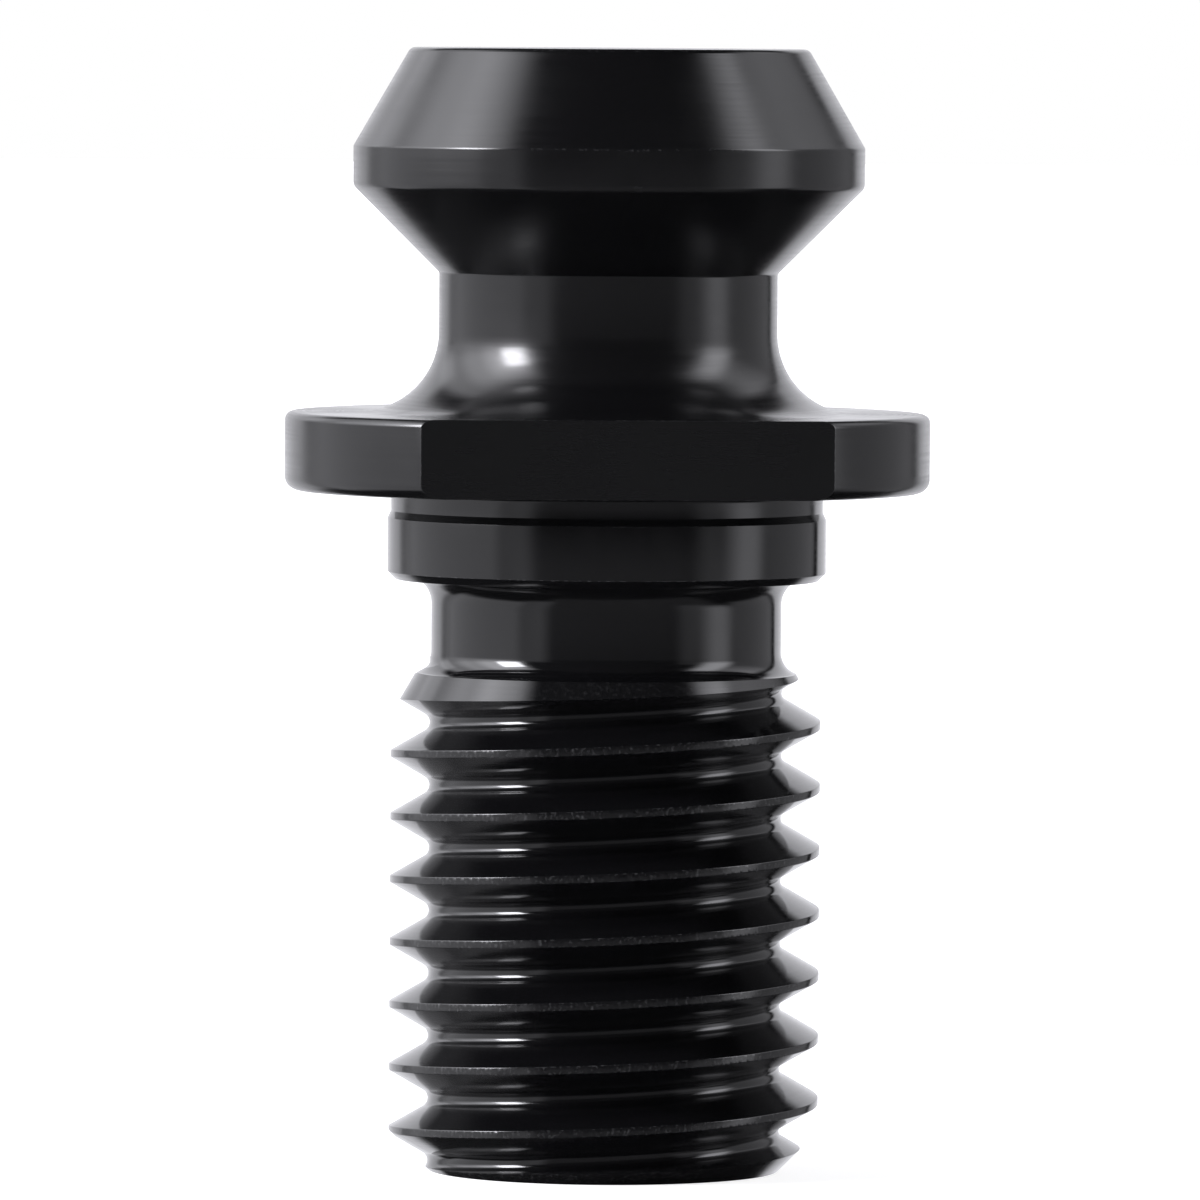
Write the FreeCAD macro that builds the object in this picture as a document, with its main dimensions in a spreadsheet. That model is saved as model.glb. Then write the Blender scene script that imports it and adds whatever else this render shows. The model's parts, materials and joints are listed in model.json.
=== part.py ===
import FreeCAD, Part
import math
import os

import Sketcher

# Pull stud (retention knob) for a 40-taper tool holder: one piece of steel, turned,
# milled and threaded.  It stands on the end of its thread with its axis on +Z, and
# the two wrench flats of its flange face +Y and -Y.  Lengths are in millimetres.

NODE = "pull_stud"

# alias, value, what it is
SIZES = (
    ("overall_length", 41.275, "thread end to knob end"),
    ("knob_reach", 16.256, "gauge face under the flange to knob end"),
    ("grip_reach", 11.176, "gauge face to the wide end of the gripping cone"),
    ("knob_diameter", 18.796, "cylindrical band of the knob"),
    ("knob_band", 1.46, "height of that band"),
    ("knob_taper", 30.0, "degrees from the axis, cone above the band"),
    ("grip_taper", 45.0, "degrees from the axis, gripping cone below the band"),
    ("knob_end_break", 0.18, "broken edge at the rim of the knob end"),
    ("band_upper_break", 0.05, "broken edge at the top of the band"),
    ("band_lower_break", 0.12, "broken edge at the bottom of the band"),
    ("neck_diameter", 12.446, "neck that the gripper closes round"),
    ("neck_fillet", 2.95, "fillet from the neck to the flange"),
    ("flange_diameter", 23.72, "flange"),
    ("flange_thickness", 2.88, "flange"),
    ("flange_upper_break", 0.2, "broken edge at the upper rim of the flange"),
    ("flange_lower_break", 0.32, "broken edge at the lower rim of the flange"),
    ("across_flats", 18.4, "wrench size"),
    ("mill_overlap", 1.0, "how far the milling cuts run past the flange"),
    ("undercut_diameter", 15.88, "short groove under the gauge face"),
    ("undercut_width", 0.74, "height of that groove"),
    ("undercut_bevel", 0.2, "45 degree corner from the groove to the gauge face"),
    ("undercut_taper", 25.0, "degrees from the axis, from the groove to the pilot"),
    ("pilot_diameter", 16.129, "ground pilot that centres the stud"),
    ("pilot_end", 3.26, "gauge face to the lower end of the pilot"),
    ("pilot_chamfer", 0.28, "chamfer at the lower end of the pilot"),
    ("relief_length", 3.43, "thread relief, from the pilot to the top of the lead cone"),
    ("relief_diameter", 12.88, "thread relief"),
    ("relief_corner", 0.8, "height of the sloping corner at each end of the relief"),
    ("relief_mouth_diameter", 14.0, "wide end of the corner under the pilot"),
    ("thread_diameter", 15.82, "over the crests, 5/8-11 UNC"),
    ("thread_root_diameter", 12.96, "at the bottom of the thread groove"),
    ("thread_pitch", 2.309, "eleven threads to the inch"),
    ("thread_angle", 60.0, "degrees between the flanks"),
    ("thread_crest", 0.26, "flat left at each crest"),
    ("thread_phase", 1.49, "thread end to the groove's middle, on the +X side"),
    ("thread_overlap", 0.1, "how far the thread tool stands clear of the crests"),
    ("lead_cone_diameter", 14.0, "small end of the cone at the top of the thread"),
    ("lead_cone_taper", 30.0, "degrees from the axis, that cone"),
    ("end_chamfer", 1.46, "45 degree chamfer at the thread end"),
)

# the groove starts this many whole turns below its phase height, clear of the steel
TURNS_BELOW = 2

GAUGE_HEIGHT = "sizes.overall_length - sizes.knob_reach"


def make_sheet(doc):
    """Write the driving dimensions into the spreadsheet and give each its alias."""
    sheet = doc.addObject("Spreadsheet::Sheet", "sizes")
    for row, (alias, value, meaning) in enumerate(SIZES, start=1):
        sheet.set(f"A{row}", meaning)
        sheet.set(f"B{row}", str(value))
        sheet.setAlias(f"B{row}", alias)
    doc.recompute()


def origin_plane(body, role):
    """The body's own XY or XZ plane."""
    planes = [feature for feature in body.Origin.OriginFeatures if feature.Role == role]
    return planes[0]


def new_sketch(body, name, role):
    """An empty sketch on one of the body's own planes."""
    sketch = body.newObject("Sketcher::SketchObject", name)
    sketch.AttachmentSupport = [(origin_plane(body, role), "")]
    sketch.MapMode = "FlatFace"
    return sketch


def draw_loop(sketch, points):
    """Draw a closed loop of lines and return their numbers; each starts at its point."""
    first = sketch.GeometryCount
    ends = points[1:] + points[:1]
    for start, end in zip(points, ends):
        line = Part.LineSegment(FreeCAD.Vector(*start, 0), FreeCAD.Vector(*end, 0))
        sketch.addGeometry(line, False)
    lines = list(range(first, first + len(points)))
    for line, following in zip(lines, lines[1:] + lines[:1]):
        sketch.addConstraint(Sketcher.Constraint("Coincident", line, 2, following, 1))
    return lines


def drive(sketch, name, expression, kind, *targets):
    """Add a named constraint whose value follows the spreadsheet."""
    value = sketch.evalExpression(expression)
    if kind == "Angle":
        value = value.getValueAs("rad").Value
    index = sketch.addConstraint(Sketcher.Constraint(kind, *targets, value))
    sketch.renameConstraint(index, name)
    sketch.setExpression(f"Constraints.{name}", expression)


def section_corners(size):
    """Corners of the half section as name, radius and height, from the thread end up."""

    def run(height, taper):
        return height * math.tan(math.radians(size[taper]))

    def rise(radius, taper):
        return radius / math.tan(math.radians(size[taper]))

    gauge = size["overall_length"] - size["knob_reach"]
    grip = gauge + size["grip_reach"]
    band = grip + size["knob_band"]
    knob = size["knob_diameter"] / 2
    neck = size["neck_diameter"] / 2
    flange = size["flange_diameter"] / 2
    undercut = size["undercut_diameter"] / 2
    pilot = size["pilot_diameter"] / 2
    relief = size["relief_diameter"] / 2
    corner = size["relief_corner"]
    mouth = size["relief_mouth_diameter"] / 2
    thread = size["thread_diameter"] / 2
    lead = size["lead_cone_diameter"] / 2
    pilot_end = gauge - size["pilot_end"]
    shoulder = pilot_end - size["relief_length"]
    groove = gauge - size["undercut_width"]
    return (
        ("axis_low", 0, 0),
        ("thread_end", thread - size["end_chamfer"], 0),
        ("crest_low", thread, size["end_chamfer"]),
        ("crest_high", thread, shoulder - rise(thread - lead, "lead_cone_taper")),
        ("lead_high", lead, shoulder),
        ("relief_low", relief, shoulder + corner),
        ("relief_high", relief, pilot_end - corner),
        ("relief_mouth", mouth, pilot_end),
        ("pilot_low", pilot, pilot_end),
        ("pilot_high", pilot, groove - rise(pilot - undercut, "undercut_taper")),
        ("undercut_low", undercut, groove),
        ("undercut_high", undercut, gauge),
        ("flange_low", flange, gauge),
        ("flange_high", flange, gauge + size["flange_thickness"]),
        ("neck_low", neck, gauge + size["flange_thickness"]),
        ("neck_high", neck, grip - rise(knob - neck, "grip_taper")),
        ("band_low", knob, grip),
        ("band_high", knob, band),
        ("knob_end", knob - run(size["overall_length"] - band, "knob_taper"), size["overall_length"]),
        ("axis_high", 0, size["overall_length"]),
    )


def turn_blank(doc, body, size):
    """Turn the blank from its half section; returns where each corner has come to lie."""
    corners = section_corners(size)
    sketch = new_sketch(body, "half_section", "XZ_Plane")
    lines = draw_loop(sketch, [(radius, height) for _, radius, height in corners])
    line = {name: number for (name, _, _), number in zip(corners, lines)}

    sketch.addConstraint(Sketcher.Constraint("Coincident", line["axis_low"], 1, -1, 1))
    for name in ("crest_low", "relief_low", "pilot_low", "undercut_low", "flange_low",
                 "neck_low", "band_low", "axis_high"):
        sketch.addConstraint(Sketcher.Constraint("Vertical", line[name]))
    for name in ("axis_low", "relief_mouth", "undercut_high", "flange_high", "knob_end"):
        sketch.addConstraint(Sketcher.Constraint("Horizontal", line[name]))

    # corner, and the diameter that it lies on
    for name, diameter in (
        ("crest_low", "thread_diameter"),
        ("lead_high", "lead_cone_diameter"),
        ("relief_low", "relief_diameter"),
        ("relief_mouth", "relief_mouth_diameter"),
        ("pilot_low", "pilot_diameter"),
        ("undercut_low", "undercut_diameter"),
        ("flange_low", "flange_diameter"),
        ("neck_low", "neck_diameter"),
        ("band_low", "knob_diameter"),
    ):
        drive(sketch, f"half_{diameter}", f"sizes.{diameter} / 2", "DistanceX", -1, 1, line[name], 1)

    # lower corner, upper corner, and the height between them
    for low, high, height in (
        ("axis_low", "crest_low", "end_chamfer"),
        ("axis_low", "knob_end", "overall_length"),
        ("undercut_high", "knob_end", "knob_reach"),
        ("undercut_high", "band_low", "grip_reach"),
        ("band_low", "band_high", "knob_band"),
        ("undercut_high", "flange_high", "flange_thickness"),
        ("undercut_low", "undercut_high", "undercut_width"),
        ("relief_mouth", "undercut_high", "pilot_end"),
        ("lead_high", "relief_mouth", "relief_length"),
        ("lead_high", "relief_low", "relief_corner"),
    ):
        drive(sketch, height, f"sizes.{height}", "DistanceY", line[low], 1, line[high], 1)
    drive(sketch, "upper_relief_corner", "sizes.relief_corner", "DistanceY",
          line["relief_high"], 1, line["relief_mouth"], 1)
    drive(sketch, "end_chamfer_run", "sizes.end_chamfer", "DistanceX",
          line["thread_end"], 1, line["crest_low"], 1)

    # each cone leans from the upright axis, -2, inwards as it rises or, at the grip, outwards
    for taper, first, second in (
        ("lead_cone_taper", -2, line["crest_high"]),
        ("undercut_taper", -2, line["pilot_high"]),
        ("grip_taper", line["neck_high"], -2),
        ("knob_taper", -2, line["band_high"]),
    ):
        drive(sketch, taper, f"sizes.{taper} * 1 deg", "Angle", first, second)

    blank = body.newObject("PartDesign::Revolution", "blank")
    blank.Profile = sketch
    blank.ReferenceAxis = (sketch, ["V_Axis"])
    blank.Angle = 360.0
    doc.recompute()
    points = {name: sketch.Geometry[number].StartPoint for name, number in line.items()}
    return {name: (point.x, point.y) for name, point in points.items()}


def ring_names(shape, radius, height):
    """Names of the round edges about the axis with this radius and height."""
    names = []
    for number, edge in enumerate(shape.Edges, start=1):
        if not isinstance(edge.Curve, Part.Circle):
            continue
        same_radius = math.isclose(edge.Curve.Radius, radius, abs_tol=1e-5)
        same_height = math.isclose(edge.Curve.Center.z, height, abs_tol=1e-5)
        if same_radius and same_height:
            names.append(f"Edge{number}")
    return names


def finish_edge(doc, body, corner, alias, kind, measure):
    """Fillet or chamfer the turned edge that lies at a corner of the section."""
    base = body.Tip
    feature = body.newObject(kind, alias)
    feature.Base = (base, ring_names(base.Shape, *corner))
    feature.setExpression(measure, f"sizes.{alias}")
    doc.recompute()


def finish_edges(doc, body, corners):
    """Fillet the neck into the flange, break the outer edges and bevel the undercut's corner."""
    finish_edge(doc, body, corners["neck_low"], "neck_fillet", "PartDesign::Fillet", "Radius")
    for name, alias in (
        ("knob_end", "knob_end_break"),
        ("band_high", "band_upper_break"),
        ("band_low", "band_lower_break"),
        ("flange_high", "flange_upper_break"),
        ("flange_low", "flange_lower_break"),
        ("undercut_high", "undercut_bevel"),
        ("pilot_low", "pilot_chamfer"),
    ):
        finish_edge(doc, body, corners[name], alias, "PartDesign::Chamfer", "Size")


def mill_flats(doc, body, size):
    """Mill one wrench flat into the front of the flange and mirror it to the back."""
    near = -size["across_flats"] / 2
    reach = size["flange_diameter"] / 2 + size["mill_overlap"]
    reach_text = "sizes.flange_diameter / 2 + sizes.mill_overlap"

    sketch = new_sketch(body, "flat_section", "XY_Plane")
    sketch.setExpression("AttachmentOffset.Base.z", f"{GAUGE_HEIGHT} + sizes.flange_thickness / 2")
    outer, right, inner, left = draw_loop(
        sketch, [(-reach, -reach), (reach, -reach), (reach, near), (-reach, near)]
    )
    sketch.addConstraint(Sketcher.Constraint("Horizontal", inner))
    sketch.addConstraint(Sketcher.Constraint("Vertical", right))
    sketch.addConstraint(Sketcher.Constraint("Vertical", left))
    sketch.addConstraint(Sketcher.Constraint("Symmetric", outer, 1, outer, 2, -2))
    drive(sketch, "flat_distance", "sizes.across_flats / 2", "DistanceY", inner, 1, -1, 1)
    drive(sketch, "cut_depth", reach_text, "DistanceY", outer, 1, -1, 1)
    drive(sketch, "cut_half_width", reach_text, "DistanceX", -1, 1, right, 1)

    front = body.newObject("PartDesign::Pocket", "front_flat")
    front.Profile = sketch
    front.Midplane = True
    front.setExpression("Length", "sizes.flange_thickness + 2 * sizes.mill_overlap")
    doc.recompute()

    back = body.newObject("PartDesign::Mirrored", "back_flat")
    back.Originals = [front]
    back.MirrorPlane = (origin_plane(body, "XZ_Plane"), [""])
    body.Tip = back
    doc.recompute()


def cut_thread(doc, body, size):
    """Cut the right-hand thread: one groove that runs from below the end into the relief."""
    slope = math.tan(math.radians(size["thread_angle"] / 2))
    start = size["thread_phase"] - TURNS_BELOW * size["thread_pitch"]
    outer = size["thread_diameter"] / 2 + size["thread_overlap"]
    root = size["thread_root_diameter"] / 2
    mouth = (size["thread_pitch"] - size["thread_crest"]) / 2 + size["thread_overlap"] * slope
    bottom = mouth - (outer - root) * slope

    sketch = new_sketch(body, "groove_section", "XZ_Plane")
    lower, floor, upper, mouth_line = draw_loop(
        sketch,
        [(outer, start - mouth), (root, start - bottom), (root, start + bottom), (outer, start + mouth)],
    )
    sketch.addConstraint(Sketcher.Constraint("Vertical", floor))
    sketch.addConstraint(Sketcher.Constraint("Vertical", mouth_line))
    outer_text = "sizes.thread_diameter / 2 + sizes.thread_overlap"
    mouth_text = (
        "(sizes.thread_pitch - sizes.thread_crest) / 2"
        " + sizes.thread_overlap * tan(sizes.thread_angle / 2 * 1 deg)"
    )
    start_text = f"sizes.thread_phase - {TURNS_BELOW} * sizes.thread_pitch"
    drive(sketch, "root_radius", "sizes.thread_root_diameter / 2", "DistanceX", -1, 1, floor, 1)
    drive(sketch, "outer_radius", outer_text, "DistanceX", -1, 1, lower, 1)
    drive(sketch, "mouth_width", f"2 * ({mouth_text})", "DistanceY", lower, 1, mouth_line, 1)
    drive(sketch, "mouth_depth", f"{mouth_text} - ({start_text})", "DistanceY", lower, 1, -1, 1)
    drive(sketch, "lower_flank", "sizes.thread_angle / 2 * 1 deg", "Angle", -1, upper)
    drive(sketch, "between_flanks", "180 deg - sizes.thread_angle * 1 deg", "Angle", upper, lower)

    thread = body.newObject("PartDesign::SubtractiveHelix", "thread")
    thread.Profile = sketch
    thread.ReferenceAxis = (sketch, ["V_Axis"])
    thread.HasBeenEdited = True
    thread.Mode = "pitch-height-angle"
    thread.setExpression("Pitch", "sizes.thread_pitch")
    relief_middle = f"{GAUGE_HEIGHT} - sizes.pilot_end - sizes.relief_length / 2"
    thread.setExpression("Height", f"{relief_middle} - ({start_text})")
    doc.recompute()


def check(doc, body):
    """Stop if any object of the document failed or if the stud isn't one whole solid."""
    for item in doc.Objects:
        if "Invalid" in item.State or "Error" in item.State:
            raise RuntimeError(f"{item.Label}: {item.State}")
    shape = body.Shape
    if shape.isNull() or not shape.isValid() or len(shape.Solids) != 1:
        raise RuntimeError(f"{body.Label} isn't one valid solid")
    for sketch in doc.findObjects("Sketcher::SketchObject"):
        if sketch.solve() != 0:
            raise RuntimeError(f"{sketch.Label} can't be solved")
    for name in ("front_flat", "back_flat", "thread"):
        cut = doc.getObject(name)
        if cut.Shape.Volume >= cut.BaseFeature.Shape.Volume:
            raise RuntimeError(f"{name} cuts nothing")


def main():
    doc = FreeCAD.newDocument(NODE)
    make_sheet(doc)
    size = {alias: doc.sizes.get(alias) for alias, _, _ in SIZES}
    body = doc.addObject("PartDesign::Body", NODE)
    body.Label = NODE
    corners = turn_blank(doc, body, size)
    finish_edges(doc, body, corners)
    mill_flats(doc, body, size)
    cut_thread(doc, body, size)
    body.Placement = FreeCAD.Placement()
    doc.recompute()
    check(doc, body)

    os.makedirs("parts", exist_ok=True)
    body.Shape.exportStep(f"parts/{body.Label}.step")
    print(f"{body.Label}: {body.Shape.Volume:.1f} mm3, {len(body.Shape.Faces)} faces")


main()
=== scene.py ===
import json
import math
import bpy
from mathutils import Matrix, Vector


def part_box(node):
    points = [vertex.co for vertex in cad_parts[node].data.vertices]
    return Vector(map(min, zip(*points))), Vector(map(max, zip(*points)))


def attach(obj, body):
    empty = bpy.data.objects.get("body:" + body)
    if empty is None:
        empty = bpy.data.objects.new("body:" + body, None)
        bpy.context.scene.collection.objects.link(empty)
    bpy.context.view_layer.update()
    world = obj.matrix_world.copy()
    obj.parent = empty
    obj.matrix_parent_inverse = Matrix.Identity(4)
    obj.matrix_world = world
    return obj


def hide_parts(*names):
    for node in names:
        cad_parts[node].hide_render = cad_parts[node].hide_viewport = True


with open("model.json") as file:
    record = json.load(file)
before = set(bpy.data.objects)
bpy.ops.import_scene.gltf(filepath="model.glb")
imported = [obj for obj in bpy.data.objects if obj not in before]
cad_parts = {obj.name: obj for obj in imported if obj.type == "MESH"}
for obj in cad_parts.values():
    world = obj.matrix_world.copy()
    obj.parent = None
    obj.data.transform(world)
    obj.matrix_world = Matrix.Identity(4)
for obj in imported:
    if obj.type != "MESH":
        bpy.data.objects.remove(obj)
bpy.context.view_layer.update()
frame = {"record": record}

from types import SimpleNamespace

import bmesh
import bpy
from bpy.props import FloatProperty, FloatVectorProperty, PointerProperty
from mathutils import Matrix, Vector

bl_info = {
    "name": "Pull Stud",
    "version": (1, 0, 0),
    "blender": (4, 5, 0),
    "location": "View3D > Sidebar > Pull Stud",
    "description": "Turns, mills and threads a black pull stud and sets up a small studio round it",
    "category": "Object",
}

NODE = "pull_stud"
MM = 0.001
# vertices this close, in millimetres, are one vertex
DOUBLES = 1e-4

LOW, HIGH = (Vector(corner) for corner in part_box(NODE))
MOUNTS = {mount["name"]: mount for mount in frame["record"]["mounts"]}


# ---------------------------------------------------------------- sizes and colours

def length(name, description, millimetres):
    """A length property; its default is given in millimetres."""
    return FloatProperty(
        name=name, description=description, default=millimetres * MM,
        min=0.0, precision=5, subtype="DISTANCE", unit="LENGTH",
    )


def angle(name, description, degrees):
    """An angle property; its default is given in degrees."""
    return FloatProperty(
        name=name, description=description, default=math.radians(degrees),
        subtype="ANGLE", unit="ROTATION",
    )


def fraction(name, description, default):
    """A property between 0 and 1."""
    return FloatProperty(name=name, description=description, default=default, min=0.0, max=1.0)


def per_metre(name, description, default):
    """A property that says how many grains of a pattern go in a metre."""
    return FloatProperty(
        name=name, description=description + ", to the metre", default=default, min=0.0,
    )


class StudSizes(bpy.types.PropertyGroup):
    """Sizes of the stud; what the frame says is taken from it."""

    overall_length: length("Length", "Thread end to knob end", (HIGH.z - LOW.z) / MM)
    gauge_height: length(
        "Gauge height", "Thread end to the face under the flange", MOUNTS["gauge_face"]["pos_m"][2] / MM
    )
    across_flats: length("Across flats", "Wrench size", -2 * MOUNTS["front_flat"]["pos_m"][1] / MM)
    flange_diameter: length("Flange", "Diameter of the flange", (HIGH.x - LOW.x) / MM)
    knob_diameter: length("Knob", "Diameter of the knob's band", (HIGH.y - LOW.y) / MM)
    pilot_diameter: length("Pilot", "Diameter of the ground pilot", 2 * MOUNTS["pilot"]["dims"]["r_mm"])

    grip_reach: length("Grip reach", "Gauge face to the wide end of the gripping cone", 11.176)
    grip_taper: angle("Grip taper", "Gripping cone, from the axis", 45)
    knob_band: length("Knob band", "Height of the knob's cylindrical band", 1.46)
    knob_taper: angle("Knob taper", "Cone above the band, from the axis", 30)
    neck_diameter: length("Neck", "Diameter of the neck", 12.446)
    neck_fillet: length("Neck fillet", "Radius from the neck to the flange", 2.95)
    flange_thickness: length("Flange thickness", "Height of the flange", 2.88)
    undercut_diameter: length("Undercut", "Diameter of the groove under the gauge face", 15.88)
    undercut_width: length("Undercut width", "Height of that groove", 0.74)
    undercut_taper: angle("Undercut taper", "From that groove to the pilot, from the axis", 25)
    pilot_end: length("Pilot end", "Gauge face to the lower end of the pilot", 3.26)
    pilot_chamfer: length("Pilot chamfer", "Chamfer at the lower end of the pilot", 0.28)
    relief_diameter: length("Relief", "Diameter of the thread relief", 12.88)
    relief_length: length("Relief length", "Pilot to the lead cone", 3.43)
    relief_low_slope: length("Relief low slope", "Rise of the relief's lower end", 0.204)
    relief_low_round: length("Relief low round", "Radius at the relief's lower end", 0.85)
    relief_high_slope: length("Relief high slope", "Rise of the relief's upper end", 0.274)
    relief_high_round: length("Relief high round", "Radius at the relief's upper end", 1.0)

    thread_diameter: length("Thread", "Diameter over the thread's crests", 15.82)
    thread_root_diameter: length("Thread root", "Diameter at the bottom of the groove", 12.96)
    thread_pitch: length("Pitch", "From one turn of the thread to the next", 2.309)
    thread_crest: length("Crest", "Flat left at each crest", 0.26)
    thread_phase: length("Thread phase", "Thread end to the groove's middle, on the +X side", 1.49)
    thread_angle: angle("Thread angle", "Between the flanks", 60)
    lead_cone_diameter: length("Lead cone", "Small end of the cone above the thread", 14.0)
    lead_cone_taper: angle("Lead cone taper", "That cone, from the axis", 30)
    end_chamfer: length("End chamfer", "Chamfer at the thread end", 1.46)
    crest_round: length("Crest round", "Radius at the edges of the crest", 0.05)

    thread_end_break: length("Thread end break", "Radius where the flat end meets its chamfer", 0.08)
    end_chamfer_break: length("End chamfer break", "Radius where that chamfer meets the thread", 0.06)
    lead_cone_break: length("Lead cone break", "Radius where the thread meets the lead cone", 0.1)
    pilot_end_break: length("Pilot end break", "Radius below the pilot's chamfer", 0.04)
    pilot_break: length("Pilot break", "Radius above the pilot's chamfer", 0.05)
    undercut_break: length("Undercut break", "Radius at both ends of the undercut's taper", 0.05)
    undercut_fillet: length("Undercut fillet", "Radius from the undercut to the gauge face", 0.2)
    flange_lower_round: length("Flange lower round", "Radius at the flange's lower edge", 0.5)
    flange_upper_round: length("Flange upper round", "Radius at the flange's upper edge", 0.3)
    neck_top_fillet: length("Neck top fillet", "Radius from the neck to the gripping cone", 0.15)
    band_lower_round: length("Band lower round", "Radius from the gripping cone to the band", 0.35)
    band_upper_round: length("Band upper round", "Radius from the band to the knob's cone", 0.2)
    knob_end_round: length("Knob end round", "Radius at the knob's end", 0.3)
    flat_edge_break: length("Flat edge break", "Broken edge round each wrench flat", 0.06)


class StudLooks(bpy.types.PropertyGroup):
    """Colours, gloss and grain of the stud's finish."""

    oxide: FloatVectorProperty(
        name="Black oxide", description="Colour of the blackened steel",
        subtype="COLOR", size=3, min=0.0, max=1.0, default=(0.004, 0.004, 0.0045),
    )
    bare_steel: FloatVectorProperty(
        name="Bare steel", description="Colour of the steel where the finish is rubbed off",
        subtype="COLOR", size=3, min=0.0, max=1.0, default=(0.22, 0.22, 0.225),
    )
    glossy: fraction("Glossy", "Roughness of the glossiest parts of the shank", 0.07)
    satin: fraction("Satin", "Roughness of the dullest parts of the shank", 0.15)
    head_dullness: fraction("Head dullness", "Roughness added above the gauge face", 0.09)
    flat_dullness: fraction("Flat dullness", "Roughness added on the milled flats", 0.08)
    rubbed_least: fraction("Rubbed least", "How bare an edge is between the specks", 0.03)
    rubbed_most: fraction("Rubbed most", "How bare an edge is in the specks", 0.5)
    grain_depth: length("Grain depth", "Height of the turning rings and the brushing", 0.0014)
    ring_scale: per_metre("Ring scale", "Turning rings", 9000.0)
    brush_scale: per_metre("Brush scale", "Brushing on the flats", 12000.0)
    cloud_scale: per_metre("Cloud scale", "Clouds in the gloss", 260.0)
    speck_scale: per_metre("Speck scale", "Bare specks along the edges", 7000.0)


class StudioSettings(bpy.types.PropertyGroup):
    """The floor and the camera."""

    floor: FloatVectorProperty(
        name="Floor", description="Colour of the studio floor",
        subtype="COLOR", size=3, min=0.0, max=1.0, default=(0.86, 0.86, 0.86),
    )
    floor_radius: length("Floor radius", "Radius of the floor", 3000.0)
    camera_side: angle("Camera side", "Direction of the camera, positive to the right", -4.7)
    camera_distance: length("Camera distance", "From the stud's axis", 480.0)
    camera_height: length("Camera height", "Above the floor", 43.0)
    camera_roll: angle("Camera roll", "Turn of the camera about its own axis", 0.377)
    aim_height: length("Aim height", "Height of the point in the middle of the picture", 21.0)
    aim_aside: length("Aim aside", "That point's distance to the left of the axis", 0.235)
    lens: FloatProperty(
        name="Lens", description="Focal length of the camera", default=392.0, min=1.0,
        subtype="DISTANCE_CAMERA", unit="CAMERA",
    )


def in_millimetres(sizes):
    """The sizes as plain numbers: millimetres, and radians for angles."""
    plain = {}
    for name, setting in sizes.bl_rna.properties.items():
        if setting.type == "FLOAT":
            factor = 1.0 if setting.unit == "ROTATION" else MM
            plain[name] = getattr(sizes, name) / factor
    return SimpleNamespace(**plain)


# ---------------------------------------------------------------- modelling helpers

def start_afresh():
    """Leave edit mode and select nothing."""
    if bpy.context.object and bpy.context.object.mode != "OBJECT":
        bpy.ops.object.mode_set(mode="OBJECT")
    bpy.ops.object.select_all(action="DESELECT")


def draw_outline(name, corners):
    """A new object whose edges join the corners; it is left in edit mode.

    Each corner is its radius, its height, the radius it is rounded with and the arc's segments.
    """
    start_afresh()
    bpy.ops.mesh.primitive_plane_add(size=1.0)
    bpy.context.object.name = name
    bpy.ops.object.mode_set(mode="EDIT")
    bpy.ops.mesh.select_mode(type="VERT")
    bpy.ops.mesh.merge(type="CENTER")
    points = [Vector((radius, 0, height)) for radius, height, _, _ in corners]
    bpy.ops.transform.translate(value=points[0])
    pen = points[0]
    for before, point, after, corner in zip(points, points[1:], points[2:], corners[1:]):
        arrive = (point - before).normalized()
        leave = (after - point).normalized()
        pen = draw_corner(pen, point, arrive, leave, corner)
    draw_line(pen, points[-1])
    return bpy.context.object


def draw_line(pen, end):
    """Extrude the selected vertex from the pen to the end, which is where the pen is then."""
    bpy.ops.mesh.extrude_vertices_move(TRANSFORM_OT_translate={"value": end - pen})
    return end


def draw_corner(pen, point, arrive, leave, corner):
    """Draw up to a corner and round it with an arc; returns where the arc ends."""
    _, _, rounding, segments = corner
    if not rounding:
        return draw_line(pen, point)
    turn = arrive.angle(leave)
    trim = rounding * math.tan(turn / 2)
    start = draw_line(pen, point - arrive * trim)
    inwards = (leave - arrive * arrive.dot(leave)).normalized()
    bpy.ops.mesh.spin(
        steps=segments, angle=-math.copysign(turn, arrive.cross(leave).y),
        center=start + inwards * rounding, axis=(0, 1, 0),
    )
    return point + leave * trim


def close_mesh():
    """Merge doubles and turn all faces of the mesh being edited outwards."""
    bpy.ops.mesh.select_all(action="SELECT")
    bpy.ops.mesh.remove_doubles(threshold=DOUBLES)
    bpy.ops.mesh.normals_make_consistent(inside=False)


def apply_modifier(piece, kind, **settings):
    """Give the piece a modifier with these settings and apply it."""
    start_afresh()
    bpy.context.view_layer.objects.active = piece
    piece.select_set(True)
    modifier = piece.modifiers.new(kind.lower(), kind)
    for name, value in settings.items():
        setattr(modifier, name, value)
    bpy.ops.object.modifier_apply(modifier=modifier.name)


def cut_away(piece, cutter):
    """Cut the cutter's shape out of the piece, and delete the cutter."""
    apply_modifier(piece, "BOOLEAN", operation="DIFFERENCE", solver="MANIFOLD", object=cutter)
    bpy.data.meshes.remove(cutter.data)


# ---------------------------------------------------------------- the stud

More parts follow.
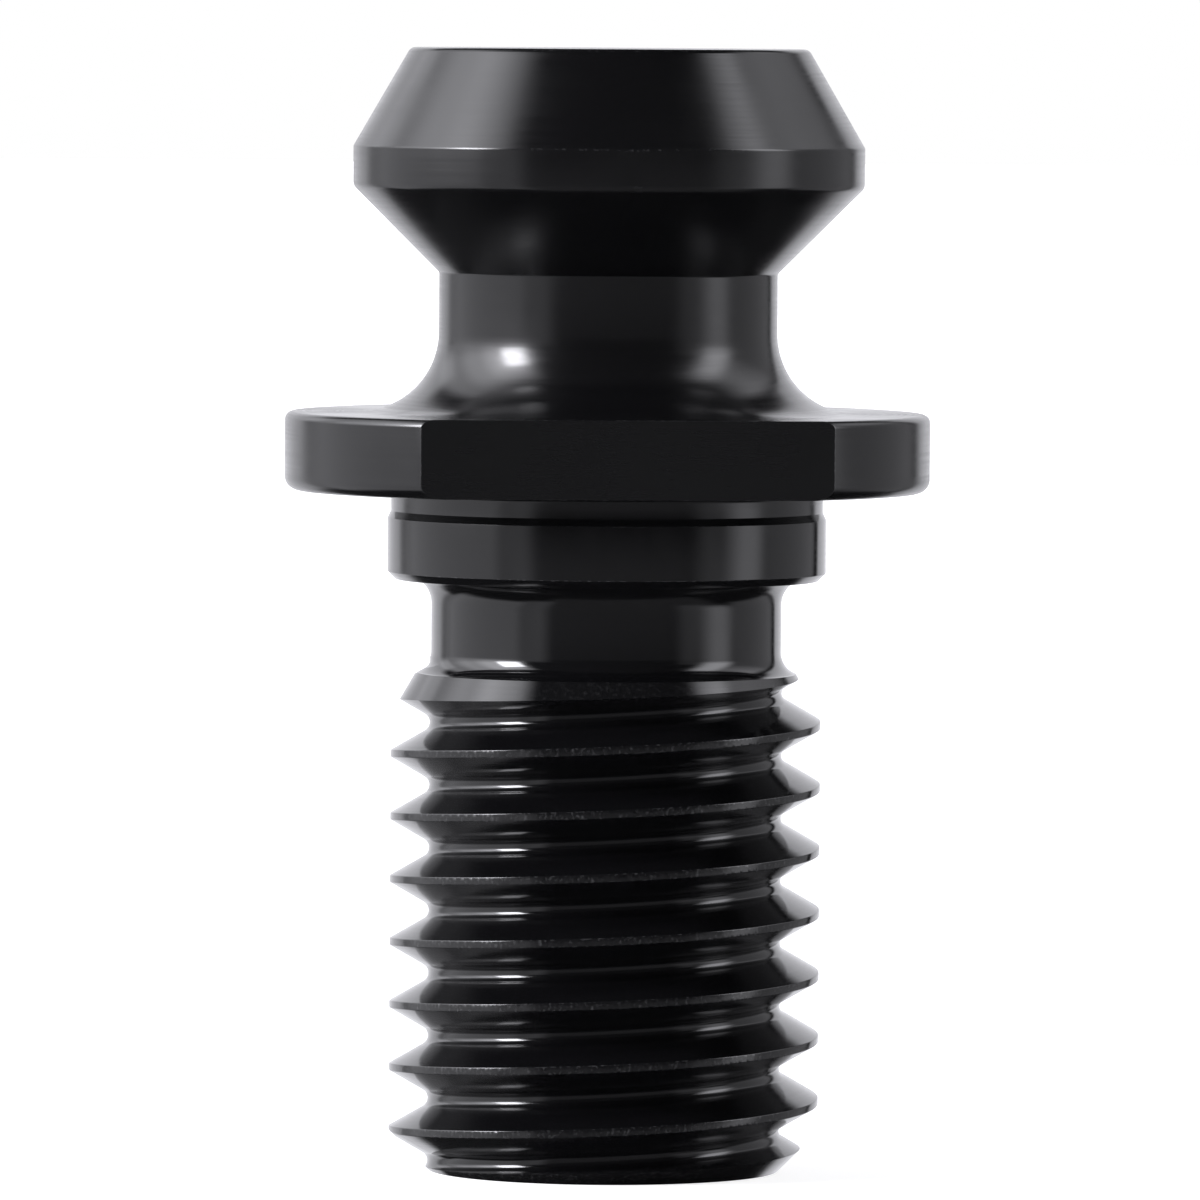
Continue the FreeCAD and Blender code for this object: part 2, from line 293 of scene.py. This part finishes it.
def outline_corners(size):
    """The half section from the thread end up: radius, height, rounding radius, segments."""
    gauge = size.gauge_height
    flange_top = gauge + size.flange_thickness
    grip = gauge + size.grip_reach
    band = grip + size.knob_band
    pilot_low = gauge - size.pilot_end
    shoulder = pilot_low - size.relief_length
    groove = gauge - size.undercut_width

    knob = size.knob_diameter / 2
    neck = size.neck_diameter / 2
    flange = size.flange_diameter / 2
    undercut = size.undercut_diameter / 2
    pilot = size.pilot_diameter / 2
    relief = size.relief_diameter / 2
    thread = size.thread_diameter / 2
    lead = size.lead_cone_diameter / 2
    knob_end = knob - (size.overall_length - band) * math.tan(size.knob_taper)
    cone_low = shoulder - (thread - lead) / math.tan(size.lead_cone_taper)
    pilot_top = groove - (pilot - undercut) / math.tan(size.undercut_taper)
    neck_top = grip - (knob - neck) / math.tan(size.grip_taper)
    return (
        (0, 0, 0, 0),
        (thread - size.end_chamfer, 0, size.thread_end_break, 3),
        (thread, size.end_chamfer, size.end_chamfer_break, 2),
        (thread, cone_low, size.lead_cone_break, 2),
        (lead, shoulder, 0, 0),
        (relief, shoulder + size.relief_low_slope, size.relief_low_round, 12),
        (relief, pilot_low - size.relief_high_slope, size.relief_high_round, 12),
        (lead, pilot_low, 0, 0),
        (pilot - size.pilot_chamfer, pilot_low, size.pilot_end_break, 3),
        (pilot, pilot_low + size.pilot_chamfer, size.pilot_break, 3),
        (pilot, pilot_top, size.undercut_break, 2),
        (undercut, groove, size.undercut_break, 2),
        (undercut, gauge, size.undercut_fillet, 5),
        (flange, gauge, size.flange_lower_round, 10),
        (flange, flange_top, size.flange_upper_round, 8),
        (neck, flange_top, size.neck_fillet, 32),
        (neck, neck_top, size.neck_top_fillet, 4),
        (knob, grip, size.band_lower_round, 6),
        (knob, band, size.band_upper_round, 5),
        (knob_end, size.overall_length, size.knob_end_round, 8),
        (0, size.overall_length, 0, 0),
    )


def turn_blank(size):
    """Draw the half section and spin it about the axis."""
    steps = 256
    stud = draw_outline("stud", outline_corners(size))
    bpy.ops.mesh.select_all(action="SELECT")
    bpy.ops.mesh.spin(steps=steps, angle=math.tau, center=(0, 0, 0), axis=(0, 0, 1))
    close_mesh()
    bpy.ops.object.mode_set(mode="OBJECT")
    return stud


def mill_flats(stud, size):
    """Mill the two wrench flats into the flange and break their edges."""
    overlap = 1.0
    width = size.flange_diameter + 2 * overlap
    depth = (size.flange_diameter - size.across_flats) / 2 + overlap
    middle = size.gauge_height + size.flange_thickness / 2
    for side in (-1, 1):
        start_afresh()
        reach = side * (size.across_flats + depth) / 2
        bpy.ops.mesh.primitive_cube_add(size=1.0, location=(0, reach, middle))
        cutter = bpy.context.object
        cutter.scale = (width, depth, size.flange_thickness + overlap)
        bpy.ops.object.transform_apply(location=True, rotation=True, scale=True)
        cut_away(stud, cutter)

    start_afresh()
    bpy.context.view_layer.objects.active = stud
    bpy.ops.object.mode_set(mode="EDIT")
    bpy.ops.mesh.select_mode(type="EDGE")
    bpy.ops.mesh.select_all(action="DESELECT")
    mesh = bmesh.from_edit_mesh(stud.data)
    limit = size.across_flats / 2 - 1e-3
    squarely = 0.999
    for edge in mesh.edges:
        sides = [abs(face.normal.y) > squarely for face in edge.link_faces]
        edge.select = sides.count(True) == 1 and all(abs(end.co.y) > limit for end in edge.verts)
    bmesh.update_edit_mesh(stud.data)
    bpy.ops.mesh.bevel(offset=size.flat_edge_break, segments=3, affect="EDGES", clamp_overlap=True)
    bpy.ops.object.mode_set(mode="OBJECT")


def cut_thread(stud, size):
    """Cut the right-hand thread: a groove with a round bottom, swept up the shank."""
    steps = 128
    turns_below = 2
    half_angle = size.thread_angle / 2
    # the tool's mouth stands a little outside the blank, its back well outside, and its lips are
    # a little longer than the rounding of the crest needs
    skim = 0.003
    clearance = 0.4
    lip_reach = 1.2
    crest = size.thread_diameter / 2 + skim
    mouth = (size.thread_pitch - size.thread_crest) / 2
    tip = crest - mouth / math.tan(half_angle)
    root_round = size.thread_root_diameter / 2 - tip
    lip = size.crest_round * math.tan((math.pi / 2 - half_angle) / 2) * lip_reach
    start = size.thread_phase - turns_below * size.thread_pitch
    outside = crest + clearance
    cutter = draw_outline("thread_tool", (
        (outside, start - mouth - lip, 0, 0),
        (crest, start - mouth - lip, 0, 0),
        (crest, start - mouth, size.crest_round, 4),
        (tip, start, root_round, 12),
        (crest, start + mouth, size.crest_round, 4),
        (crest, start + mouth + lip, 0, 0),
        (outside, start + mouth + lip, 0, 0),
        (outside, start - mouth - lip, 0, 0),
    ))
    bpy.ops.object.mode_set(mode="OBJECT")

    pilot_low = size.gauge_height - size.pilot_end
    run = pilot_low - size.relief_length / 2 - start
    turns = math.ceil(run / size.thread_pitch * steps) / steps
    apply_modifier(
        cutter, "SCREW", axis="Z", angle=math.tau * turns, screw_offset=size.thread_pitch * turns,
        steps=round(steps * turns), render_steps=round(steps * turns), use_merge_vertices=False,
    )
    bpy.ops.object.mode_set(mode="EDIT")
    close_mesh()
    bpy.ops.mesh.select_all(action="DESELECT")
    bpy.ops.mesh.select_non_manifold()
    bpy.ops.mesh.fill_holes(sides=0)
    close_mesh()
    bpy.ops.object.mode_set(mode="OBJECT")
    cut_away(stud, cutter)


def finish_shape(stud):
    """Take the stud from millimetres to metres and smooth its shading."""
    sharpest_smooth = math.radians(28)
    start_afresh()
    bpy.context.view_layer.objects.active = stud
    stud.select_set(True)
    bpy.ops.object.mode_set(mode="EDIT")
    bpy.ops.mesh.select_all(action="SELECT")
    bpy.ops.transform.resize(value=(MM, MM, MM), center_override=(0, 0, 0))
    bpy.ops.object.mode_set(mode="OBJECT")
    bpy.ops.object.shade_smooth_by_angle(angle=sharpest_smooth)
    apply_modifier(stud, "WEIGHTED_NORMAL", mode="FACE_AREA", weight=100, keep_sharp=True)


# ---------------------------------------------------------------- nodes

def new_node(owner, kind, place, **settings):
    """Add a node to a material or world and set its properties."""
    node = owner.node_tree.nodes.new(kind)
    node.location = place
    for name, value in settings.items():
        setattr(node, name, value)
    return node


def feed(owner, socket, value):
    """Link the socket to the value if that is a socket too; otherwise set it."""
    if isinstance(value, bpy.types.NodeSocket):
        owner.node_tree.links.new(value, socket)
    else:
        socket.default_value = value


def math_node(owner, operation, place, *values):
    """A math node fed by sockets or numbers; returns its result socket."""
    node = new_node(owner, "ShaderNodeMath", place, operation=operation)
    for socket, value in zip(node.inputs, values):
        feed(owner, socket, value)
    return node.outputs[0]


def mix_node(owner, data_type, place, factor, one, other):
    """Mix two values or colours by the factor; returns the result socket."""
    node = new_node(owner, "ShaderNodeMix", place, data_type=data_type)
    inputs = [socket for socket in node.inputs if socket.enabled]
    for socket, value in zip(inputs, (factor, one, other)):
        feed(owner, socket, value)
    return next(socket for socket in node.outputs if socket.enabled)


def range_node(owner, value, place, old, new, **settings):
    """Map a value from the old range to the new one; returns the result socket."""
    node = new_node(owner, "ShaderNodeMapRange", place, **settings)
    for name, number in zip(("From Min", "From Max", "To Min", "To Max"), (*old, *new)):
        node.inputs[name].default_value = number
    feed(owner, node.inputs["Value"], value)
    return node.outputs["Result"]


def noise_node(owner, vector, place, scale, detail):
    """Noise over a vector; returns the value socket."""
    node = new_node(owner, "ShaderNodeTexNoise", place)
    node.inputs["Scale"].default_value = scale
    node.inputs["Detail"].default_value = detail
    feed(owner, node.inputs["Vector"], vector)
    return node.outputs[0]


def stretched(owner, parts, factors, place):
    """A vector of the parts, each times its factor: the grain runs where the factor is small."""
    node = new_node(owner, "ShaderNodeCombineXYZ", place)
    across, up = place
    for number, (part, factor) in enumerate(zip(parts, factors)):
        scaled = math_node(owner, "MULTIPLY", (across - 180, up - 160 * number), part, factor)
        feed(owner, node.inputs[number], scaled)
    return node.outputs[0]


# ---------------------------------------------------------------- the finish

def mark_edges(stud):
    """Keep how sharply the surface turns outwards at each vertex, as the attribute edge_wear."""
    gentle = 2.0 / MM
    sharp = 14.0 / MM
    nearest = 0.01 * MM
    mesh = bmesh.new()
    mesh.from_mesh(stud.data)
    layer = mesh.verts.layers.float.new("edge_wear")
    for edge in mesh.edges:
        if len(edge.link_faces) == 2:
            one, other = (face.calc_center_median() for face in edge.link_faces)
            bend = edge.calc_face_angle_signed(0.0) / max((one - other).length, nearest)
            wear = min(max((bend - gentle) / (sharp - gentle), 0.0), 1.0)
            for vertex in edge.verts:
                vertex[layer] = max(vertex[layer], wear)
    mesh.to_mesh(stud.data)
    mesh.free()


def milled_share(material, along_y, height, size):
    """1 on the two wrench flats and 0 elsewhere."""
    within = 0.02
    middle = (size.gauge_height + size.flange_thickness / 2) * MM
    off_middle = math_node(material, "SUBTRACT", (-1280, -500), height, middle)
    off_middle = math_node(material, "ABSOLUTE", (-1100, -500), off_middle)
    half = size.flange_thickness / 2 * MM
    on_flange = math_node(material, "LESS_THAN", (-920, -500), off_middle, half)
    aside = math_node(material, "ABSOLUTE", (-1280, -680), along_y)
    flat = (size.across_flats / 2 - within) * MM
    on_flat = math_node(material, "GREATER_THAN", (-920, -680), aside, flat)
    return math_node(material, "MULTIPLY", (-740, -580), on_flange, on_flat)


def grain_pattern(material, looks, position, milled):
    """Rings round the axis where the stud is turned, and lines along the milled flats."""
    along_x, along_y, height = position
    round_axis = (1.0, 1.0, 0.012)
    along_flat = (0.02, 1.0, 0.0)
    square_x = math_node(material, "MULTIPLY", (-1640, 120), along_x, along_x)
    square = math_node(material, "MULTIPLY_ADD", (-1460, 120), along_y, along_y, square_x)
    radius = math_node(material, "SQRT", (-1280, 120), square)
    ring_place = stretched(material, (radius, height, along_x), round_axis, (-900, 300))
    rings = noise_node(material, ring_place, (-700, 300), looks.ring_scale, 2.0)
    brush_place = stretched(material, (along_x, height, along_y), along_flat, (-900, -200))
    brushing = noise_node(material, brush_place, (-700, -200), looks.brush_scale, 3.0)
    return mix_node(material, "FLOAT", (-480, 100), milled, rings, brushing)


def uneven_gloss(material, looks, place, height, grain, milled, size):
    """Roughness: cloudy, streaked by the grain, and duller on the head and on the flats."""
    clouds = noise_node(material, place, (-700, 600), looks.cloud_scale, 4.0)
    rough = range_node(material, clouds, (-480, 600), (0.35, 0.65), (looks.glossy, looks.satin))
    streaks = range_node(material, grain, (-480, 400), (0.3, 0.7), (-0.02, 0.03))
    rough = math_node(material, "ADD", (-260, 500), rough, streaks)
    rough = math_node(material, "MULTIPLY_ADD", (-80, 500), milled, looks.flat_dullness, rough)
    gauge = size.gauge_height * MM
    head = range_node(material, height, (-260, 800), (gauge - MM, gauge), (0.0, looks.head_dullness))
    return math_node(material, "ADD", (60, 600), rough, head)


def rubbed_edges(material, looks, place):
    """How bare the steel is: specks along the edges that the attribute edge_wear marks."""
    wear = new_node(material, "ShaderNodeAttribute", (-1280, -900), attribute_name="edge_wear")
    specks = noise_node(material, place, (-1280, -1100), looks.speck_scale, 3.0)
    amounts = (looks.rubbed_least, looks.rubbed_most)
    bare = range_node(material, specks, (-920, -1100), (0.52, 0.75), amounts)
    return math_node(material, "MULTIPLY", (-740, -1000), wear.outputs["Fac"], bare)


def black_oxide(looks, size):
    """Black oxide over turned steel: rings round the axis, brushed flats, rubbed edges."""
    material = bpy.data.materials.new("black_oxide")
    material.use_nodes = True
    steel = material.node_tree.nodes["Principled BSDF"]
    steel.inputs["IOR"].default_value = 1.55

    coordinates = new_node(material, "ShaderNodeTexCoord", (-2000, 0))
    place = coordinates.outputs["Object"]
    position = new_node(material, "ShaderNodeSeparateXYZ", (-1820, 0))
    feed(material, position.inputs["Vector"], place)
    _, along_y, height = position.outputs

    milled = milled_share(material, along_y, height, size)
    grain = grain_pattern(material, looks, position.outputs, milled)
    rough = uneven_gloss(material, looks, place, height, grain, milled, size)
    feed(material, steel.inputs["Roughness"], rough)

    bare = rubbed_edges(material, looks, place)
    oxide = (*looks.oxide, 1.0)
    bare_steel = (*looks.bare_steel, 1.0)
    coat = mix_node(material, "RGBA", (-260, -900), bare, oxide, bare_steel)
    feed(material, steel.inputs["Base Color"], coat)
    feed(material, steel.inputs["Metallic"], bare)

    bump = new_node(material, "ShaderNodeBump", (-260, -300))
    bump.inputs["Strength"].default_value = 1.0
    bump.inputs["Distance"].default_value = looks.grain_depth
    feed(material, bump.inputs["Height"], grain)
    feed(material, steel.inputs["Normal"], bump.outputs[0])
    return material


class OBJECT_OT_pull_stud(bpy.types.Operator):
    """Turn, mill and thread the stud, and give it its black finish"""

    bl_idname = "object.pull_stud"
    bl_label = "Pull stud"

    def execute(self, context):
        size = in_millimetres(context.scene.stud_sizes)
        stud = turn_blank(size)
        mill_flats(stud, size)
        cut_thread(stud, size)
        finish_shape(stud)
        mark_edges(stud)
        stud.data.materials.clear()
        stud.data.materials.append(black_oxide(context.scene.stud_looks, size))
        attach(stud, "root")
        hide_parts(NODE)
        return {"FINISHED"}


# ---------------------------------------------------------------- the studio

# what stands round the stud: name, directions from and to, elevations from and to, brightness
# (a white wall is 1) and softness of its edges; directions in degrees from the camera's side,
# positive to the right
SURROUNDINGS = (
    ("room", -400, 400, -95, 95, 0.015, 1),
    ("backdrop", 147, 221, -26, 28, 1.2, 3),
    ("left_wall", -128, -60, -34, 10, 1.0, 5),
    ("left_gap", -139, -128, -26, 28, 0.5, 2),
    ("left_near_wall", -60, -40, -40, 12, 0.6, 6),
    ("right_wall", 94, 140, -26, 28, 0.45, 4),
    ("right_near_wall", 50, 70, -26, 20, 0.3, 6),
    ("table", -46, 80, -56, -1, 0.17, 8),
    ("front", -44, 60, -8, 62, 0.02, 8),
    ("left_soft_box", -141, -61, 10, 54, 1.4, 8),
    ("left_soft_box_middle", -116, -61, 10, 50, 1.8, 10),
    ("left_soft_box_front", -94, -61, 12, 46, 2.8, 9),
    ("left_lamp", -78, -60, 14, 34, 22.0, 2),
    ("right_strip", 70, 90, -18, 50, 1.5, 8),
    ("right_soft_box", 69, 92, 12, 46, 3.0, 6),
    ("right_soft_box_end", 92, 138, 28, 48, 1.3, 8),
)


def angle_nodes(world, camera_side):
    """The sockets that give a direction's azimuth, from the camera's side, and its elevation."""
    direction = new_node(world, "ShaderNodeTexCoord", (-1400, 0))
    turn = new_node(world, "ShaderNodeVectorRotate", (-1200, 0), rotation_type="Z_AXIS")
    turn.inputs["Angle"].default_value = -camera_side
    feed(world, turn.inputs["Vector"], direction.outputs["Generated"])
    parts = new_node(world, "ShaderNodeSeparateXYZ", (-1000, 0))
    feed(world, parts.inputs["Vector"], turn.outputs["Vector"])

    forward = math_node(world, "MULTIPLY", (-820, -120), parts.outputs["Y"], -1.0)
    radians = math_node(world, "ARCTAN2", (-640, 0), parts.outputs["X"], forward)
    azimuth = math_node(world, "DEGREES", (-460, 0), radians)
    tilt = math_node(world, "ARCSINE", (-640, -200), parts.outputs["Z"])
    elevation = math_node(world, "DEGREES", (-460, -200), tilt)
    return azimuth, elevation


def step_node(world, value, edge, softness, rising, place):
    """1 on one side of the edge and 0 on the other, with a soft step between."""
    old = (edge - softness, edge + softness)
    new = (0.0, 1.0) if rising else (1.0, 0.0)
    return range_node(world, value, place, old, new, interpolation_type="SMOOTHSTEP")


def panel_light(world, azimuth, elevation, panel, down):
    """The light that a soft-edged panel sends from the direction; its nodes are laid out in a row."""
    _, left, right, low, high, light, softness = panel
    for number, (value, edge, rising) in enumerate((
        (azimuth, left, True),
        (azimuth, right, False),
        (elevation, low, True),
        (elevation, high, False),
    )):
        step = step_node(world, value, edge, softness, rising, (number * 180, down))
        light = math_node(world, "MULTIPLY", (number * 180, down - 260), step, light)
    return light


def light_surroundings(scene, camera_side):
    """A world that is white to look at; the stud mirrors the walls and soft boxes round it."""
    world = bpy.data.worlds.new("studio")
    scene.world = world
    world.use_nodes = True
    seen = world.node_tree.nodes["Background"]
    seen.inputs["Color"].default_value = (1, 1, 1, 1)

    azimuth, elevation = angle_nodes(world, camera_side)
    beyond = math_node(world, "ADD", (-280, 120), azimuth, 360.0)
    total = None
    for row, panel in enumerate(SURROUNDINGS):
        name, _, right = panel[:3]
        past_the_back = right > 180
        for number, across in enumerate((azimuth, beyond) if past_the_back else (azimuth,)):
            down = -row * 420 - number * 40
            light = panel_light(world, across, elevation, panel, down)
            total = light if total is None else math_node(world, "ADD", (900, down), total, light)
            total.node.label = name

    mirrored = new_node(world, "ShaderNodeBackground", (1200, -120))
    mirrored.inputs["Color"].default_value = (0.95, 0.95, 1.0, 1)
    feed(world, mirrored.inputs["Strength"], total)
    path = new_node(world, "ShaderNodeLightPath", (1000, 400)).outputs
    plain = math_node(
        world, "MAXIMUM", (1200, 300), path["Is Camera Ray"], path["Is Transmission Ray"],
    )
    mix = new_node(world, "ShaderNodeMixShader", (1460, 0))
    for socket, source in zip(mix.inputs, (plain, mirrored.outputs[0], seen.outputs[0])):
        feed(world, socket, source)
    feed(world, world.node_tree.nodes["World Output"].inputs["Surface"], mix.outputs[0])


def floor_material(studio):
    """White paper that looks as white as the backdrop, and still takes the stud's shadow."""
    brightened = 0.75
    material = bpy.data.materials.new("floor_paper")
    material.use_nodes = True
    paper = material.node_tree.nodes["Principled BSDF"]
    paper.inputs["Base Color"].default_value = (*studio.floor, 1)
    paper.inputs["Roughness"].default_value = 0.9
    path = new_node(material, "ShaderNodeLightPath", (-300, 300)).outputs
    glow = new_node(material, "ShaderNodeEmission", (0, 300))
    glow.inputs["Color"].default_value = (1, 1, 1, 1)
    added = math_node(material, "MULTIPLY", (-150, 300), path["Is Camera Ray"], brightened)
    feed(material, glow.inputs["Strength"], added)
    both = new_node(material, "ShaderNodeAddShader", (300, 100))
    for socket, source in zip(both.inputs, (paper.outputs[0], glow.outputs[0])):
        feed(material, socket, source)
    feed(material, material.node_tree.nodes["Material Output"].inputs["Surface"], both.outputs[0])
    return material


def lay_floor(studio):
    """A wide round floor under the stud."""
    start_afresh()
    bpy.ops.mesh.primitive_circle_add(vertices=96, radius=studio.floor_radius, fill_type="NGON")
    floor = bpy.context.object
    floor.name = "floor"
    floor.visible_glossy = False
    floor.data.materials.append(floor_material(studio))


def place_camera(scene, studio):
    """A long lens near the height of the knob, a little to the left of the front."""
    side = studio.camera_side
    distance = studio.camera_distance
    place = Vector((math.sin(side) * distance, -math.cos(side) * distance, studio.camera_height))
    to_the_right = Vector((math.cos(side), math.sin(side), 0))
    aim = Vector((0, 0, studio.aim_height)) - to_the_right * studio.aim_aside

    start_afresh()
    bpy.ops.object.camera_add(location=place)
    camera = bpy.context.object
    camera.name = "camera"
    camera.data.sensor_width = 36.0
    camera.data.lens = studio.lens
    camera.data.clip_end = 20.0
    look = (aim - place).to_track_quat("-Z", "Y").to_matrix().to_4x4()
    roll = Matrix.Rotation(studio.camera_roll, 4, "Z")
    camera.matrix_world = Matrix.Translation(place) @ look @ roll
    scene.camera = camera


class SCENE_OT_stud_studio(bpy.types.Operator):
    """Lay the floor, light the surroundings and place the camera"""

    bl_idname = "scene.stud_studio"
    bl_label = "Studio"

    def execute(self, context):
        scene = context.scene
        studio = scene.stud_studio
        light_surroundings(scene, studio.camera_side)
        lay_floor(studio)
        place_camera(scene, studio)
        scene.view_settings.view_transform = "Standard"
        return {"FINISHED"}


class VIEW3D_PT_pull_stud(bpy.types.Panel):
    """Lists the operators and what they read"""

    bl_label = "Pull Stud"
    bl_idname = "VIEW3D_PT_pull_stud"
    bl_space_type = "VIEW_3D"
    bl_region_type = "UI"
    bl_category = "Pull Stud"

    def draw(self, context):
        layout = self.layout
        layout.operator(OBJECT_OT_pull_stud.bl_idname)
        layout.operator(SCENE_OT_stud_studio.bl_idname)
        scene = context.scene
        for group in (scene.stud_sizes, scene.stud_looks, scene.stud_studio):
            column = layout.column(align=True)
            for name in group.__annotations__:
                column.prop(group, name)


CLASSES = (
    StudSizes,
    StudLooks,
    StudioSettings,
    OBJECT_OT_pull_stud,
    SCENE_OT_stud_studio,
    VIEW3D_PT_pull_stud,
)


def register():
    for item in CLASSES:
        bpy.utils.register_class(item)
    bpy.types.Scene.stud_sizes = PointerProperty(type=StudSizes)
    bpy.types.Scene.stud_looks = PointerProperty(type=StudLooks)
    bpy.types.Scene.stud_studio = PointerProperty(type=StudioSettings)


def unregister():
    del bpy.types.Scene.stud_studio
    del bpy.types.Scene.stud_looks
    del bpy.types.Scene.stud_sizes
    for item in reversed(CLASSES):
        bpy.utils.unregister_class(item)


def main():
    register()
    bpy.ops.object.pull_stud()
    bpy.ops.scene.stud_studio()


if __name__ == "__main__":
    main()
